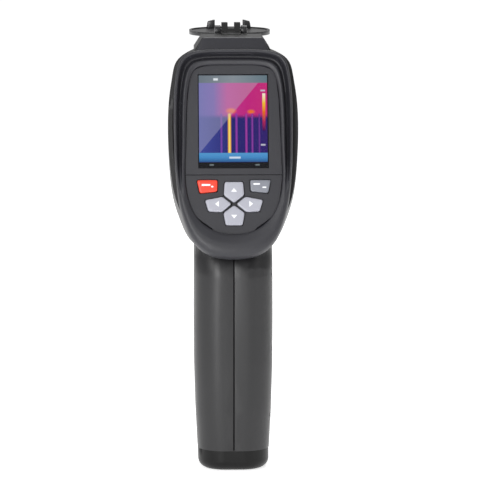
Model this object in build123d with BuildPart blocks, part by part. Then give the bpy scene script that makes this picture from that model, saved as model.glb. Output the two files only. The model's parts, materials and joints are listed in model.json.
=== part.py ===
from build123d import *
import math
import os

os.makedirs("parts", exist_ok=True)

# Frame: the camera stands on its base. +Z is up, the user is at -Y, the lens looks along +Y,
# and the origin is the mouth of the tripod socket, in the middle of the base. Millimetres.

# Driving dimensions
lean = 16.0                 # the display panel leans forward at the top, degrees from upright
keys_y = -21.0              # centre of the direction keys, on the panel face
keys_z = 131.0
wall = 2.2                  # housing wall
parting = -4.5              # rear cover meets the housing this far below the panel face
crest = 2.2                 # height of the cover's outer band above the panel face
shelf = -1.3                # ledge that carries the display frame and keypad panel
fit_gap = 0.1               # plain gap around parts that drop in
nose_y = 32.5               # front plane of the head
nose_z = 183.5              # centre of the oval nose
nose_half = (20.2, 23.5)    # half width and half height of the nose
lens_z = 190.0              # optical axis
hinge_y = 37.0              # lens cover hinge axis
hinge_z = 210.0
grip_top = 125.0            # the grip runs up inside the head to here
base_top = 10.0             # parting line between grip and base cap
grip_corner = 13.0          # corner radius of the grip's section

lean_sin = math.sin(math.radians(lean))
lean_cos = math.cos(math.radians(lean))

# Right-hand outlines in the panel's own axes, from the top centre down to the bottom centre,
# measured from the centre of the direction keys
cover_edge = [
    (0, 75.9), (13, 75.7), (21.8, 74.2), (25.8, 70.6), (27.3, 65), (28.4, 56), (28.8, 44),
    (28.7, 32), (28.1, 16), (26.5, 1), (23.4, -10.4), (19.2, -18.6), (11.8, -24.5), (0, -26.4),
]
head_edge = [
    (0, 76.3), (13, 76.1), (22.6, 74.6), (27.2, 70.4), (28.9, 64), (30.3, 54), (31, 43),
    (31, 32), (30.2, 16), (28.2, 2), (24.4, -9.6), (19.6, -18), (11.8, -23.4), (0, -25),
]
inset_edge = [
    (0, 67.8), (13, 67.5), (18.6, 65.4), (21.3, 58), (22.4, 46), (22.8, 30), (23.3, 14),
    (22, 3), (17.8, -6.4), (10, -12.7), (0, -14.6),
]

# Grip stations: height, half width, rear face, front face
grip_stations = [
    (base_top, 17.4, -19.4, 19.4), (30, 18.4, -20.6, 20.4), (52, 19.0, -21.0, 21.0),
    (76, 19.1, -21.0, 21.0), (95, 19.0, -21.0, 20.0), (100, 19.0, -20.4, 19.2),
    (104, 19.0, -18.2, 18.4), (110, 19.0, -15.6, 17.4), (grip_top, 18.6, -14.6, 16.6),
]

# Head stations: how far forward, and how much of the egg has become the nose
head_stations = [(-34, 0), (-12, 0), (6, 0.03), (18, 0.38), (27, 0.8), (nose_y, 1)]


# Helpers

def panel(height=0.0):
    # Plane parallel to the display panel, this far out towards the user
    face = Plane(origin=(0, keys_y, keys_z), x_dir=(1, 0, 0), z_dir=(0, -lean_cos, lean_sin))
    return face.offset(height)


def upright(y):
    # Upright plane across the camera, whose sketches are drawn in X and Z
    return Plane.XZ.offset(-y)


def shrink(points, inset):
    # Move right-hand outline points inwards, square to the outline
    moved = []
    for i, (x, z) in enumerate(points):
        before = points[i - 1] if i > 0 else (-points[1][0], points[1][1])
        after = points[i + 1] if i + 1 < len(points) else (-points[-2][0], points[-2][1])
        run = (after[0] - before[0], after[1] - before[1])
        length = math.hypot(*run)
        moved.append((x + inset * run[1] / length, z - inset * run[0] / length))
    return moved


def smooth_face(points):
    # Closed smooth outline through right-hand points and their mirror images
    with BuildSketch() as face:
        with BuildLine():
            Spline(*points, tangents=[(1, 0), (-1, 0)])
            mirror(about=Plane.YZ)
        make_face()
    return face.sketch


def oval_points(half_width, half_height, count):
    # Right-hand points of a squarish oval about its own centre
    points = []
    for i in range(count):
        turn = math.pi * i / (count - 1)
        across = half_width * abs(math.sin(turn)) ** 0.86
        along = half_height * math.copysign(abs(math.cos(turn)) ** 0.86, math.cos(turn))
        points.append((across, along))
    return points


def head_section(blend, inset):
    # Section of the head, part egg and part nose, in X and Z
    egg = [(x, keys_z + v * lean_cos + parting * lean_sin) for x, v in head_edge]
    nose = [(x, nose_z + z) for x, z in oval_points(*nose_half, len(egg))]
    mixed = [
        (a[0] + (b[0] - a[0]) * blend, a[1] + (b[1] - a[1]) * blend) for a, b in zip(egg, nose)
    ]
    return smooth_face(shrink(mixed, inset))


def head_body(inset):
    # The head forward of the rear cover, with no hollow, shrunk on every side but its ends
    with BuildPart() as body:
        for y, blend in head_stations:
            with BuildSketch(upright(y)):
                add(head_section(blend, inset))
        loft()
        with BuildSketch(panel(parting)):
            Rectangle(200, 400)
        extrude(amount=60, mode=Mode.SUBTRACT)
    return body.part


def grip_body(inset, bottom=base_top):
    # The grip with no hollow, shrunk on every side but its ends
    with BuildPart() as body:
        for z, half, rear, front in grip_stations:
            level = bottom if z == base_top else z
            with BuildSketch(Plane.XY.offset(level)):
                with Locations((0, (front + rear) / 2)):
                    RectangleRounded(
                        2 * (half - inset), front - rear - 2 * inset, grip_corner - inset
                    )
        loft(ruled=True)
    return body.part


def block(x0, x1, y0, y1, z0, z1):
    # A plain box between two corners
    with BuildPart() as box:
        with Locations(((x0 + x1) / 2, (y0 + y1) / 2, (z0 + z1) / 2)):
            Box(abs(x1 - x0), abs(y1 - y0), abs(z1 - z0))
    return box.part


def rod(start, radius, length, axis):
    # A round bar from a start point along X, Y or Z
    with BuildPart() as bar:
        with BuildSketch(Plane(origin=start, z_dir=axis)):
            Circle(radius)
        extrude(amount=length)
    return bar.part


def key_face(points, grow=0.0):
    # Outline of one key on the panel, with rounded corners, grown to make its hole
    with BuildSketch() as face:
        with BuildLine():
            Polyline(*points, close=True)
        make_face()
        fillet(face.vertices(), radius=0.6)
        if grow:
            offset(amount=grow, kind=Kind.INTERSECTION)
    return face.sketch


def finish(name, part):
    # Label a finished piece and write it
    part.label = name
    export_step(part, f"parts/{name}.step")


# Keys: outlines on the panel, from its centre
key_gap = 0.35
key_rise = 1.0
key_travel = 0.8
up_face = [(-4.4, 10.7), (4.4, 10.7), (4.9, 4.3), (0, 0.6), (-4.9, 4.3)]
down_face = [(-5.1, -4.4), (0, -0.6), (5.1, -4.4), (4.0, -10.3), (-4.0, -10.3)]
right_face = [(1.2, 0), (5.5, 3.5), (13.9, 1.9), (12.3, -3.6), (5.8, -3.9)]
left_face = [(-x, v) for x, v in right_face]
grey_face = [(7.8, 11.6), (17.7, 11.6), (16.4, 5.3), (8.0, 6.1)]
red_face = [(-x, v) for x, v in grey_face]
keys = {
    "up_button": up_face,
    "down_button": down_face,
    "left_button": left_face,
    "right_button": right_face,
    "red_button": red_face,
    "grey_button": grey_face,
}

# Panel layout, measured along the panel from the centre of the direction keys
divider = 14.2
screen_middle = 40.4
screen_size = (33.9, 46.0)
panel_thick = 1.3

# Lens cover hinge
pin_radius = 1.0
block_half = 4.65
arm_half = (4.95, 7.9)
cover_half = 20.2
cover_near = 3.0
cover_far = 45.0
cover_top = -1.5            # cover plate below the hinge axis when it stands open
cover_thick = 2.0

# Trigger
trigger_y = 12.0
trigger_z = 131.0
trigger_half = 5.5

# Battery door, in the front of the grip
door_half = 10.2
door_low = 21.0             # hinge axis height
door_high = 92.0
door_axis_y = 18.9
door_skin = 2.0
cell_radius = 9.1
cell_y = 3.2

# Side door over the ports
side_y = (-6.0, 8.0)
side_z = (135.0, 150.0)
side_skin = 1.6
side_axis_x = 27.6

# Seam down the back of the grip
seam_half = 0.35
seam_deep = 0.6

# Screw posts: place in Y and Z
posts = [(-8.9, 27), (-8.9, 60), (-8.9, 96), (13.5, 148), (22.0, 158.8)]
post_radius = 2.8
screw_radius = 1.2
head_radius = 2.4
screw_head_x = 14.4         # seat of the heads, from the right

# Base
base_posts = [(-12.6, -8.0), (12.6, -8.0), (-12.6, 8.0), (12.6, 8.0)]
insert_radius = 3.8
tripod_bore = 2.55          # core radius of a 1/4-20 thread

inset_face = smooth_face(inset_edge)


# Housing halves: one shell, opened up and then split down the middle

with BuildPart() as spine:
    # Raised spine along the top, from the brow to the hinge
    with BuildSketch(upright(nose_y)):
        with BuildLine():
            Polyline((-14.8, 208.5), (14.8, 208.5), (18.4, 203), (18.4, 198), (-18.4, 198),
                     (-18.4, 203), close=True)
        make_face()
    extrude(amount=40)
    with BuildSketch(panel(parting)):
        Rectangle(200, 400)
    extrude(amount=60, mode=Mode.SUBTRACT)

with BuildPart() as head_posts:
    # Screw posts that reach both walls of the head
    for y, z in posts[3:]:
        add(rod((-40, y, z), post_radius, 80, (1, 0, 0)))
    add(head_body(wall / 2), mode=Mode.INTERSECT)

with BuildPart() as grip_posts:
    # Screw posts that reach both walls of the grip
    for y, z in posts[:3]:
        add(rod((-40, y, z), post_radius, 80, (1, 0, 0)))
    add(grip_body(wall / 2), mode=Mode.INTERSECT)

with BuildPart() as seam:
    # Shallow groove where the two halves meet, down the back of the grip
    add(block(-seam_half, seam_half, -25, -10, base_top + 0.4, 104.5))
    add(grip_body(seam_deep), mode=Mode.SUBTRACT)

with BuildPart() as shell:
    add(head_body(0))
    add(grip_body(0))
    add(spine.part)
    add(head_body(wall), mode=Mode.SUBTRACT)
    add(grip_body(wall, base_top - 1), mode=Mode.SUBTRACT)
    # Screw posts across the seam
    add(grip_posts.part)
    add(head_posts.part)
    # Posts for the base screws
    for x, y in base_posts:
        add(rod((x, y, base_top), 3.1, 9, (0, 0, 1)))
    # Nose opening for the front bezel
    with BuildSketch(upright(nose_y + 1)):
        with Locations((0, nose_z)):
            add(smooth_face(oval_points(nose_half[0] - 2.2, nose_half[1] - 2.2, 13)))
    extrude(amount=5, mode=Mode.SUBTRACT)
    # Seat of the hinge block
    add(block(-4.75, 4.75, 26.9, 34, 206.5, 210), mode=Mode.SUBTRACT)
    # Trigger slot
    add(block(-6, 6, 7.5, 31, 101.5, 134.5), mode=Mode.SUBTRACT)
    # Battery door opening
    add(block(-door_half - 0.3, door_half + 0.3, 10, 24, door_low - 1.7, door_high + 0.3),
        mode=Mode.SUBTRACT)
    # Side door opening, on the right
    add(block(22, 36, side_y[0] - 0.3, side_y[1] + 0.3, side_z[0] - 2.4, side_z[1] + 0.3),
        mode=Mode.SUBTRACT)
    # Screw holes, with the heads sunk in the right side
    for y, z in posts:
        add(rod((screw_head_x, y, z), head_radius + 0.2, 30, (1, 0, 0)), mode=Mode.SUBTRACT)
        add(rod((screw_head_x, y, z), screw_radius, 24, (-1, 0, 0)), mode=Mode.SUBTRACT)
    for x, y in base_posts:
        add(rod((x, y, base_top - 1), screw_radius, 9, (0, 0, 1)), mode=Mode.SUBTRACT)
    add(seam.part, mode=Mode.SUBTRACT)
    # Holes for the hinge pins of the two doors and the trigger
    add(rod((-door_half - 1.8, door_axis_y, door_low), 0.6, 2 * door_half + 3.6, (1, 0, 0)),
        mode=Mode.SUBTRACT)
    add(rod((side_axis_x, side_y[0] - 1.2, side_z[0]), 0.44, side_y[1] - side_y[0] + 2.4,
            (0, 1, 0)), mode=Mode.SUBTRACT)

for name, side in (("right_housing", 1), ("left_housing", -1)):
    with BuildPart() as half:
        add(shell.part)
        add(block(-side * 60, 0, -60, 60, 0, 240), mode=Mode.SUBTRACT)
    finish(name, half.part)


# Rear cover

with BuildPart() as rear_cover:
    with BuildSketch(panel(parting)):
        add(smooth_face(cover_edge))
    extrude(amount=crest - 2.4 - parting)
    # Rounded edge of the outer band, in two steps
    for low, high, start, end in ((crest - 2.4, crest - 0.8, 0, 0.8), (crest - 0.8, crest, 0.8, 2.2)):
        with BuildSketch(panel(low)):
            add(smooth_face(shrink(cover_edge, start)))
        with BuildSketch(panel(high)):
            add(smooth_face(shrink(cover_edge, end)))
        loft(ruled=True)
    # Brow, from the outer band up to the spine
    with BuildSketch(panel(parting)):
        with BuildLine():
            Polyline((-18.3, 74.5), (18.3, 74.5), (14.8, 81.8), (-14.8, 81.8), close=True)
        make_face()
    extrude(amount=0.6 - parting)
    # Hollow behind the skin
    with BuildSketch(panel(parting)):
        add(smooth_face(shrink(cover_edge, wall)))
    extrude(amount=1.8, mode=Mode.SUBTRACT)
    # Seat of the display frame and keypad panel, and the opening through its middle
    with BuildSketch(panel(shelf)):
        add(inset_face)
    extrude(amount=10, mode=Mode.SUBTRACT)
    with BuildSketch(panel(parting)):
        add(smooth_face(shrink(inset_edge, 1.4)))
    extrude(amount=10, mode=Mode.SUBTRACT)
    # Deep groove between the outer band and the inner ring, round the sides and the top
    with BuildSketch(panel(-0.6)):
        add(smooth_face(shrink(inset_edge, -4.2)))
        add(smooth_face(shrink(inset_edge, -2.5)), mode=Mode.SUBTRACT)
        with Locations((0, 14 - 50)):
            Rectangle(100, 100, mode=Mode.SUBTRACT)
    extrude(amount=10, mode=Mode.SUBTRACT)
finish("rear_cover", rear_cover.part)


# Display frame, window and screen

with BuildPart() as display_frame:
    with BuildSketch(panel(shelf)):
        add(smooth_face(shrink(inset_edge, fit_gap)))
        with Locations((0, divider + 0.15 - 50)):
            Rectangle(100, 100, mode=Mode.SUBTRACT)
        with Locations((0, screen_middle)):
            Rectangle(*screen_size, mode=Mode.SUBTRACT)
    extrude(amount=panel_thick)
finish("display_frame", display_frame.part)

with BuildPart() as display_window:
    with BuildSketch(panel(shelf - 0.1)):
        with Locations((0, screen_middle)):
            Rectangle(screen_size[0] - 0.2, screen_size[1] - 0.2)
    extrude(amount=1.0)
finish("display_window", display_window.part)

lcd_back = -5.2

with BuildPart() as lcd_module:
    with BuildSketch(panel(lcd_back)):
        with Locations((0, screen_middle)):
            RectangleRounded(38, 51, 1)
    extrude(amount=2.4)
    with BuildSketch(panel(lcd_back + 2.4)):
        with Locations((0, screen_middle)):
            Rectangle(34.4, 46.4)
    extrude(amount=shelf - 0.2 - lcd_back - 2.4)
finish("lcd_module", lcd_module.part)

with BuildPart() as lcd_bracket:
    with BuildSketch(panel(lcd_back - 1.0)):
        with Locations((0, screen_middle + 2)):
            Rectangle(41, 47)
            with GridLocations(14, 20, 2, 2):
                Rectangle(8, 12, mode=Mode.SUBTRACT)
    extrude(amount=1.0)
finish("lcd_bracket", lcd_bracket.part)


# Keypad

with BuildPart() as keypad_panel:
    with BuildSketch(panel(shelf)):
        add(smooth_face(shrink(inset_edge, fit_gap)))
        with Locations((0, divider - 0.15 + 50)):
            Rectangle(100, 100, mode=Mode.SUBTRACT)
    extrude(amount=panel_thick)
    with BuildSketch(panel(shelf)):
        for face in keys.values():
            add(key_face(face, key_gap))
        Circle(2)
    extrude(amount=panel_thick, mode=Mode.SUBTRACT)
finish("keypad_panel", keypad_panel.part)

flange_top = shelf - 0.15
flange_thick = 0.5
membrane_top = flange_top - flange_thick - key_travel - 0.1

for name, face in keys.items():
    with BuildPart() as key:
        with BuildSketch(panel(flange_top - flange_thick)):
            add(key_face(face))
        extrude(amount=key_rise - flange_top + flange_thick)
        # Domed edge on top
        fillet(key.faces().sort_by(Axis((0, 0, 0), (0, -lean_cos, lean_sin))).last.edges(),
               radius=0.45)
    finish(name, key.part)

with BuildPart() as keypad_membrane:
    with BuildSketch(panel(membrane_top - 0.7)):
        add(smooth_face(shrink(inset_edge, 2.4)))
        with Locations((0, divider - 1.4 + 50)):
            Rectangle(100, 100, mode=Mode.SUBTRACT)
    extrude(amount=0.7)
finish("keypad_membrane", keypad_membrane.part)

with BuildPart() as keypad_board:
    with BuildSketch(panel(membrane_top - 1.9)):
        add(smooth_face(shrink(inset_edge, 2.2)))
        with Locations((0, divider - 1.4 + 50)):
            Rectangle(100, 100, mode=Mode.SUBTRACT)
    extrude(amount=1.2)
finish("keypad_board", keypad_board.part)


# Main board and what it carries

board_height = -13.0
board_thick = 1.6

with BuildPart() as main_board:
    with BuildSketch(panel(board_height)):
        with Locations((0, 33)):
            RectangleRounded(33, 58, 2)
    extrude(amount=board_thick)
finish("main_board", main_board.part)

with BuildPart() as shield_can:
    with BuildSketch(panel(board_height + board_thick)):
        with Locations((-6, 40)):
            RectangleRounded(20, 22, 1)
    extrude(amount=2.6)
finish("shield_can", shield_can.part)

with BuildPart() as buzzer:
    with BuildSketch(panel(board_height + board_thick)):
        with Locations((12, 16)):
            Circle(4.5)
    extrude(amount=3.0)
finish("buzzer", buzzer.part)

with BuildPart() as ribbon_cable:
    # Flat cable from the foot of the screen back to the main board
    with BuildSketch(Plane.YZ.offset(-7)):
        with BuildLine():
            start = panel(lcd_back - 0.13).from_local_coords(Vector(0, 15.8, 0))
            bend = panel(-8.4).from_local_coords(Vector(0, 13.4, 0))
            end = panel(board_height + board_thick + 0.13).from_local_coords(Vector(0, 22, 0))
            FilletPolyline((start.Y, start.Z), (bend.Y, bend.Z), (end.Y, end.Z), radius=1.2)
        trace(line_width=0.25)
    extrude(amount=14)
finish("ribbon_cable", ribbon_cable.part)


# Front end: bezel, infrared lens, detector, camera, laser and lamps

lens_bore = 10.1
barrel_radius = 10.0
camera_place = (-8.6, 170.5)
laser_place = (0, 167.0)
lamp_place = (8.6, 170.5)

with BuildPart() as front_bezel:
    with BuildSketch(upright(nose_y + 0.6)):
        with Locations((0, nose_z)):
            add(smooth_face(oval_points(nose_half[0] - 2.3, nose_half[1] - 2.3, 13)))
        with Locations((0, lens_z)):
            Circle(lens_bore, mode=Mode.SUBTRACT)
        with Locations(camera_place):
            Circle(3.3, mode=Mode.SUBTRACT)
        with Locations(laser_place):
            Circle(2.6, mode=Mode.SUBTRACT)
        with Locations(lamp_place):
            Circle(2.7, mode=Mode.SUBTRACT)
    extrude(amount=3.4)
finish("front_bezel", front_bezel.part)

with BuildPart() as lens_barrel:
    with BuildSketch(Plane.YZ):
        with BuildLine():
            Polyline((14, lens_z + 6.5), (14, lens_z + barrel_radius),
                     (32.6, lens_z + barrel_radius), (32.6, lens_z + 8.2),
                     (27, lens_z + 8.2), (27, lens_z + 6.5), close=True)
        make_face()
    revolve(axis=Axis((0, 0, lens_z), (0, 1, 0)))
finish("lens_barrel", lens_barrel.part)

with BuildPart() as germanium_lens:
    add(rod((0, 27, lens_z), 8.1, 3.6, (0, 1, 0)))
    fillet(germanium_lens.faces().sort_by(Axis.Y).last.edges(), radius=2.0)
finish("germanium_lens", germanium_lens.part)

with BuildPart() as lens_retaining_ring:
    with BuildSketch(upright(32.4)):
        with Locations((0, lens_z)):
            Circle(8.15)
            Circle(6.9, mode=Mode.SUBTRACT)
    extrude(amount=1.4)
finish("lens_retaining_ring", lens_retaining_ring.part)

finish("detector_core", block(-10.5, 10.5, 9.6, 14, lens_z - 11.5, lens_z + 9.5))

with BuildPart() as visible_camera:
    add(block(camera_place[0] - 4, camera_place[0] + 4, 22, 26, 166.5, 174.5))
    add(rod((camera_place[0], 26, camera_place[1]), 2.6, 5.4, (0, 1, 0)))
finish("visible_camera", visible_camera.part)
finish("camera_window", rod((camera_place[0], 31.6, camera_place[1]), 3.25, 0.9, (0, 1, 0)))
finish("laser_module", rod((laser_place[0], 18, laser_place[1]), 2.5, 14, (0, 1, 0)))
finish("lamp_led", rod((lamp_place[0], 25, lamp_place[1]), 2.5, 7.4, (0, 1, 0)))


# Lens cover and its hinge

with BuildPart() as hinge_block:
    with BuildSketch(Plane.YZ.offset(-block_half)):
        with BuildLine():
            Polyline((27, 206.6), (33.4, 206.6), (35.5, 206.6), (39.4, 208.4), (39.4, 213.9),
                     (34.4, 213.9), (33, 209.6), (27, 208.9), close=True)
        make_face()
    extrude(amount=2 * block_half)
    # Notch between the two posts, and the pin's bore
    add(block(-1.6, 1.6, 30, 45, 211.2, 220), mode=Mode.SUBTRACT)
    add(rod((-10, hinge_y, hinge_z), pin_radius, 20, (1, 0, 0)), mode=Mode.SUBTRACT)
finish("hinge_block", hinge_block.part)

finish("cover_hinge_pin", rod((-8.1, hinge_y, hinge_z), pin_radius, 16.2, (1, 0, 0)))

plate_z = hinge_z + cover_top
with BuildPart() as lens_cover:
    # Oval plate, level when open
    middle = (cover_near + cover_far) / 2
    with BuildSketch(Plane.XY.offset(plate_z - cover_thick)):
        with Locations((0, hinge_y + middle)):
            add(smooth_face(oval_points(cover_half, (cover_far - cover_near) / 2, 13)))
        with Locations((0, hinge_y)):
            Rectangle(2 * block_half + 1.2, 16, mode=Mode.SUBTRACT)
    extrude(amount=cover_thick)
    for side in (-1, 1):
        # Arm and knuckle beside the hinge block
        x0 = arm_half[0] if side > 0 else -arm_half[1]
        width = arm_half[1] - arm_half[0]
        add(rod((x0, hinge_y, hinge_z), 2.5, width, (1, 0, 0)))
        add(block(x0, x0 + width, hinge_y, hinge_y + 7, plate_z - cover_thick + 1, plate_z + 1.3))
        add(rod((x0 - 1, hinge_y, hinge_z), pin_radius + 0.06, width + 2, (1, 0, 0)),
            mode=Mode.SUBTRACT)
        # Finger tab near the far edge, higher towards the middle
        with BuildSketch(upright(hinge_y + cover_far - 3.4)):
            with BuildLine():
                Polyline((side * 7, plate_z - 0.5), (side * 7, plate_z + 3.9),
                         (side * 10.6, plate_z + 3.0), (side * 11.3, plate_z - 0.5), close=True)
            make_face()
        extrude(amount=2.6)
finish("lens_cover", lens_cover.part)

with BuildPart() as cover_seal:
    # Soft ring under the plate, which closes round the infrared lens
    with BuildSketch(Plane.XY.offset(plate_z - cover_thick)):
        with Locations((0, hinge_y + hinge_z - lens_z)):
            Circle(12.6)
            Circle(11.2, mode=Mode.SUBTRACT)
    extrude(amount=-0.25)
finish("cover_seal", cover_seal.part)


# Trigger

with BuildPart() as trigger:
    with BuildSketch(Plane.YZ.offset(-trigger_half)):
        with BuildLine():
            Polyline((9.2, 133), (15.5, 133), (19.6, 127), close=False)
            ThreePointArc((19.6, 127), (18.6, 115), (21.8, 104))
            Polyline((21.8, 104), (19.6, 102.4), (14.5, 104), (10.2, 118), (9.2, 133))
        make_face()
    extrude(amount=2 * trigger_half)
    fillet(trigger.edges().filter_by(Axis.X, reverse=True).sort_by(Axis.Y)[-4:], radius=0.8)
    add(rod((-10, trigger_y, trigger_z), 1.06, 20, (1, 0, 0)), mode=Mode.SUBTRACT)
finish("trigger", trigger.part)

with BuildPart() as trigger_pin:
    add(rod((-9.2, trigger_y, trigger_z), 1.0, 18.4, (1, 0, 0)))
finish("trigger_pin", trigger_pin.part)

with BuildPart() as trigger_cradle:
    # Two cheeks that hold the trigger's pin and bridge behind it
    for side in (-1, 1):
        add(block(side * 6.2, side * 9.2, 3.6, 14.6, 122, 134.2))
    add(block(-6.5, 6.5, 3.6, 6, 122, 134.2))
    add(rod((-10, trigger_y, trigger_z), 1.0, 20, (1, 0, 0)), mode=Mode.SUBTRACT)
finish("trigger_cradle", trigger_cradle.part)

with BuildPart() as trigger_spring:
    # Two turns round the pin, beside the trigger, drawn as rings
    for x in (-6.0, 6.0):
        with BuildSketch(Plane.YZ.offset(x - 0.15)):
            with Locations((trigger_y, trigger_z)):
                Circle(2.1)
                Circle(1.0, mode=Mode.SUBTRACT)
        extrude(amount=0.3)
finish("trigger_spring", trigger_spring.part)

with BuildPart() as trigger_switch:
    add(block(-3.2, 3.2, -3.5, 4.4, 106, 118))
    add(rod((0, 4.4, 112), 1.3, 2.2, (0, 1, 0)))
finish("trigger_switch", trigger_switch.part)


# Battery, its tray and door

cell_low = 24.0
cell_high = 89.0

finish("battery_cell", rod((0, cell_y, cell_low), cell_radius, cell_high - cell_low, (0, 0, 1)))

with BuildPart() as battery_tray:
    add(block(-11.2, 11.2, -9.6, 6, cell_low - 3.4, cell_high + 3.4))
    add(rod((0, cell_y, cell_low - 1.6), cell_radius + 0.15, 68.2, (0, 0, 1)),
        mode=Mode.SUBTRACT)
    # Clear the screw posts
    for y, z in posts[:3]:
        add(rod((-20, y, z), post_radius + 0.3, 40, (1, 0, 0)), mode=Mode.SUBTRACT)
finish("battery_tray", battery_tray.part)

for name, z in (("battery_contact_low", cell_low - 1.5), ("battery_contact_high", cell_high)):
    with BuildPart() as contact:
        with BuildSketch(Plane.XY.offset(z)):
            with Locations((0, cell_y)):
                Circle(6)
        extrude(amount=1.5)
    finish(name, contact.part)

grip_solid = grip_body(0)
grip_inner = grip_body(door_skin, base_top - 1)

with BuildPart() as battery_door:
    add(grip_solid)
    add(grip_inner, mode=Mode.SUBTRACT)
    add(block(-door_half, door_half, 10, 24, door_low, door_high), mode=Mode.INTERSECT)
    add(rod((-door_half, door_axis_y, door_low), 1.3, 2 * door_half, (1, 0, 0)))
    add(rod((-20, door_axis_y, door_low), 0.66, 40, (1, 0, 0)), mode=Mode.SUBTRACT)
finish("battery_door", battery_door.part)

finish("battery_door_pin",
       rod((-door_half - 1.8, door_axis_y, door_low), 0.6, 2 * door_half + 3.6, (1, 0, 0)))

with BuildPart() as battery_leads:
    # Two wires from the tray up to the main board
    for x in (-4.0, 4.0):
        with BuildLine() as route:
            FilletPolyline((x, -5, 92.6), (x, -5, 112), (x, -7.4, 127), radius=6)
        with BuildSketch(Plane(origin=(x, -5, 92.6), z_dir=(0, 0, 1))):
            Circle(0.7)
        sweep(path=route.wire())
finish("battery_leads", battery_leads.part)


# Side door and the ports behind it

head_solid = head_body(0)
head_inner = head_body(side_skin)

with BuildPart() as side_door:
    add(head_solid)
    add(head_inner, mode=Mode.SUBTRACT)
    add(block(20, 36, side_y[0], side_y[1], side_z[0], side_z[1]), mode=Mode.INTERSECT)
    add(rod((side_axis_x, side_y[0], side_z[0]), 0.9, side_y[1] - side_y[0], (0, 1, 0)))
    add(rod((side_axis_x, -30, side_z[0]), 0.5, 60, (0, 1, 0)), mode=Mode.SUBTRACT)
finish("side_door", side_door.part)
finish("side_door_pin",
       rod((side_axis_x, side_y[0] - 1.2, side_z[0]), 0.44, side_y[1] - side_y[0] + 2.4, (0, 1, 0)))

finish("port_board", block(17.4, 18.8, -5, 7, 134, 150))
with BuildPart() as usb_port:
    add(block(18.8, 25.4, -3.5, 5.5, 137.4, 140.6))
    add(block(20, 26, -2.9, 4.9, 138, 140), mode=Mode.SUBTRACT)
finish("usb_port", usb_port.part)
with BuildPart() as card_slot:
    add(block(18.8, 25.0, -4.5, 6.5, 143.6, 145.6))
    add(block(19.4, 26, -4.0, 6.0, 144.1, 145.1), mode=Mode.SUBTRACT)
finish("card_slot", card_slot.part)
finish("memory_card", block(19.6, 25.6, -3.9, 5.9, 144.2, 145.0))


# Screws

with BuildPart() as housing_screws:
    for y, z in posts:
        add(rod((screw_head_x, y, z), head_radius, 1.5, (1, 0, 0)))
        add(rod((screw_head_x, y, z), screw_radius, 22, (-1, 0, 0)))
        add(rod((screw_head_x + 0.8, y, z), 0.8, 1, (1, 0, 0)), mode=Mode.SUBTRACT)
finish("housing_screws", housing_screws.part)


# Base cap, tripod insert and base screws

base_middle = (17.2, 19.2)

with BuildPart() as grip_base:
    with BuildSketch(Plane.XY):
        RectangleRounded(2 * base_middle[0], 2 * base_middle[1], grip_corner)
    extrude(amount=base_top)
    fillet(grip_base.faces().sort_by(Axis.Z).first.edges(), radius=4.8)
    with BuildSketch(Plane.XY.offset(3)):
        RectangleRounded(2 * base_middle[0] - 5, 2 * base_middle[1] - 5, grip_corner - 2.5)
        for x, y in base_posts:
            with Locations((x, y)):
                Circle(3.2, mode=Mode.SUBTRACT)
        Circle(insert_radius + 2, mode=Mode.SUBTRACT)
    extrude(amount=10, mode=Mode.SUBTRACT)
    add(rod((0, 0, -1), insert_radius, 20, (0, 0, 1)), mode=Mode.SUBTRACT)
    for x, y in base_posts:
        add(rod((x, y, -1), screw_radius + 0.1, 20, (0, 0, 1)), mode=Mode.SUBTRACT)
        add(rod((x, y, -1), head_radius + 0.2, 3.6, (0, 0, 1)), mode=Mode.SUBTRACT)
finish("grip_base", grip_base.part)

with BuildPart() as tripod_insert:
    add(rod((0, 0, 0), insert_radius, 9.5, (0, 0, 1)))
    add(rod((0, 0, -1), tripod_bore, 9, (0, 0, 1)), mode=Mode.SUBTRACT)
finish("tripod_insert", tripod_insert.part)

with BuildPart() as base_screws:
    for x, y in base_posts:
        add(rod((x, y, 1.2), head_radius, 1.4, (0, 0, 1)))
        add(rod((x, y, 2.6), screw_radius, 14, (0, 0, 1)))
finish("base_screws", base_screws.part)
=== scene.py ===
import bpy
import json
import math
from mathutils import Vector, Matrix


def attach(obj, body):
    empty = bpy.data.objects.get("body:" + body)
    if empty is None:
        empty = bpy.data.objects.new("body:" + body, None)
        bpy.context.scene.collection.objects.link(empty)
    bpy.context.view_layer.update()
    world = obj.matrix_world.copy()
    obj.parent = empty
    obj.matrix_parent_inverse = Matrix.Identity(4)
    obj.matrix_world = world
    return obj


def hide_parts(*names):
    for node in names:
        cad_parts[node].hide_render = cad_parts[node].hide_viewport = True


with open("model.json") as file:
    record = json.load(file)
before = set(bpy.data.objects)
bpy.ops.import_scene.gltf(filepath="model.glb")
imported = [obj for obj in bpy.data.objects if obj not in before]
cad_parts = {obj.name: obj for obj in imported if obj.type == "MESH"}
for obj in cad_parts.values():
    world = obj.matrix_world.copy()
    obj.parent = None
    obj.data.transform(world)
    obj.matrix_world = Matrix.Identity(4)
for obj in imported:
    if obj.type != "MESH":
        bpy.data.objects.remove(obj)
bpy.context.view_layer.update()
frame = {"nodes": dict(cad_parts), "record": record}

mm = 0.001
lean = math.radians(16)  # the display panel leans forward at the top
keysCentre = Vector((0, -21, 131)) * mm  # centre of the direction keys, on the panel face
panelUp = Vector((0, math.sin(lean), math.cos(lean)))
panelOut = Vector((0, -math.cos(lean), math.sin(lean)))
panelTurn = Matrix((Vector((1, 0, 0)), panelUp, panelOut)).transposed()  # panel axes to object axes


def onPanel(u, v, w=0.0):  # millimetres across, up and out of the panel
    return keysCentre + panelTurn @ (Vector((u, v, w)) * mm)


print("frame loaded")

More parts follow.
